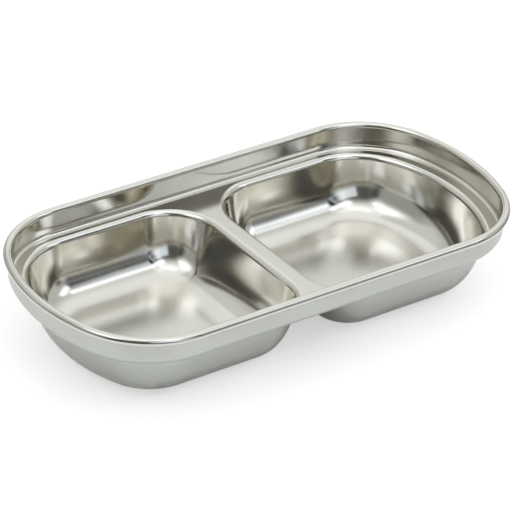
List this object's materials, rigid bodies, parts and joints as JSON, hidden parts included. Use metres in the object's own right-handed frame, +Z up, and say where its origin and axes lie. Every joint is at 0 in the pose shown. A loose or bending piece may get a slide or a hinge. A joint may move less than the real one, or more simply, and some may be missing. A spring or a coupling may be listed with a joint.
{
  "type": "divided sauce dish",
  "caption": "Long shallow pressed-steel dish with bowed ends, a rolled rim, a low collar wall and side-by-side wells parted by a flat divider, for sauces and dips.",
  "frame": {"origin": "centre of the footprint, on the plane of the undersides of the well floors that the dish stands on", "axes": "+X along the length, from the left well to the right well; +Y across, towards the back; +Z up out of the wells"},
  "size_m": [0.175, 0.0872, 0.0301],
  "materials": {
    "rim_steel": "bright polished rolled edge",
    "body_steel": "polished inside, fine satin outside"
  },
  "bodies": {
    "root": {"rolled_rim": "rim_steel", "collar": "body_steel", "ledge": "body_steel", "divider": "body_steel", "left_well": "body_steel", "right_well": "body_steel"}
  },
  "joints": []
}
